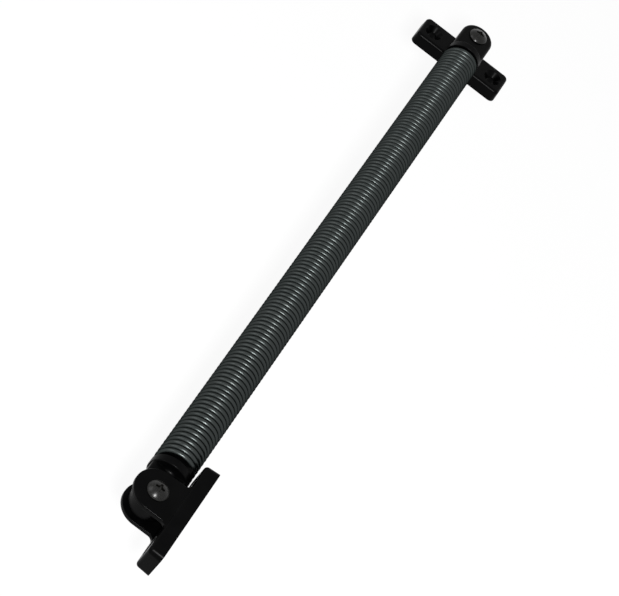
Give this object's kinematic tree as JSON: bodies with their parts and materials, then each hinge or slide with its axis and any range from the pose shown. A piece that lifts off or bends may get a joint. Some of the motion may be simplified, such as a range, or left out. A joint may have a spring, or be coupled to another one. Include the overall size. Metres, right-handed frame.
{
  "type": "hatch support spring",
  "caption": "Close-wound coil spring with a moulded eye in each end, turning on screws in two moulded brackets, that props a hatch or lid open and bends over to close",
  "frame": {"origin": "centre of the side bracket's mounting face, under its pivot", "axes": "+Z out of the wall that the side bracket is screwed to, along both pivots; +X along the spring from the side bracket to the lid bracket; +Y out of the lid bracket's mounting face"},
  "size_m": [0.3902, 0.053, 0.0276],
  "materials": {
    "moulded": "gloss",
    "spring_steel": "satin",
    "black_steel": "gloss",
    "zinc_steel": "satin"
  },
  "bodies": {
    "side_mount": {"side_bracket": "moulded", "side_pivot_screw": "black_steel", "side_pivot_nut": "zinc_steel", "side_pivot_bush": "zinc_steel"},
    "side_end": {"side_plug": "moulded"},
    "coil": {"spring_coil": "spring_steel"},
    "lid_end": {"lid_plug": "moulded"},
    "lid_mount": {"lid_bracket": "moulded", "lid_pivot_screw": "black_steel", "lid_pivot_nut": "zinc_steel", "lid_pivot_bush": "zinc_steel"}
  },
  "joints": [
    {"name": "side_pivot", "type": "hinge", "parent": "side_mount", "child": "side_end", "pos_m": [0, 0, 0.0173], "axis": [0, 0, 1], "continuous": true},
    {"name": "spring_bend_side", "type": "hinge", "parent": "side_end", "child": "coil", "pos_m": [0.0975, 0, 0.0173], "axis": [0, 0, 1], "range_deg": [-60, 60], "stiffness_Nm_per_rad": 0.126, "deforming": ["spring_coil"]},
    {"name": "spring_bend_lid", "type": "hinge", "parent": "coil", "child": "lid_end", "pos_m": [0.2575, 0, 0.0173], "axis": [0, 0, 1], "range_deg": [-60, 60], "stiffness_Nm_per_rad": 0.126, "deforming": ["spring_coil"]},
    {"name": "lid_pivot", "type": "hinge", "parent": "lid_end", "child": "lid_mount", "pos_m": [0.355, 0, 0.0173], "axis": [0, 0, -1], "range_deg": [0, 180]}
  ],
  "couplings": [
    {"joint": "spring_bend_lid", "follows": "spring_bend_side", "ratio": 1}
  ]
}
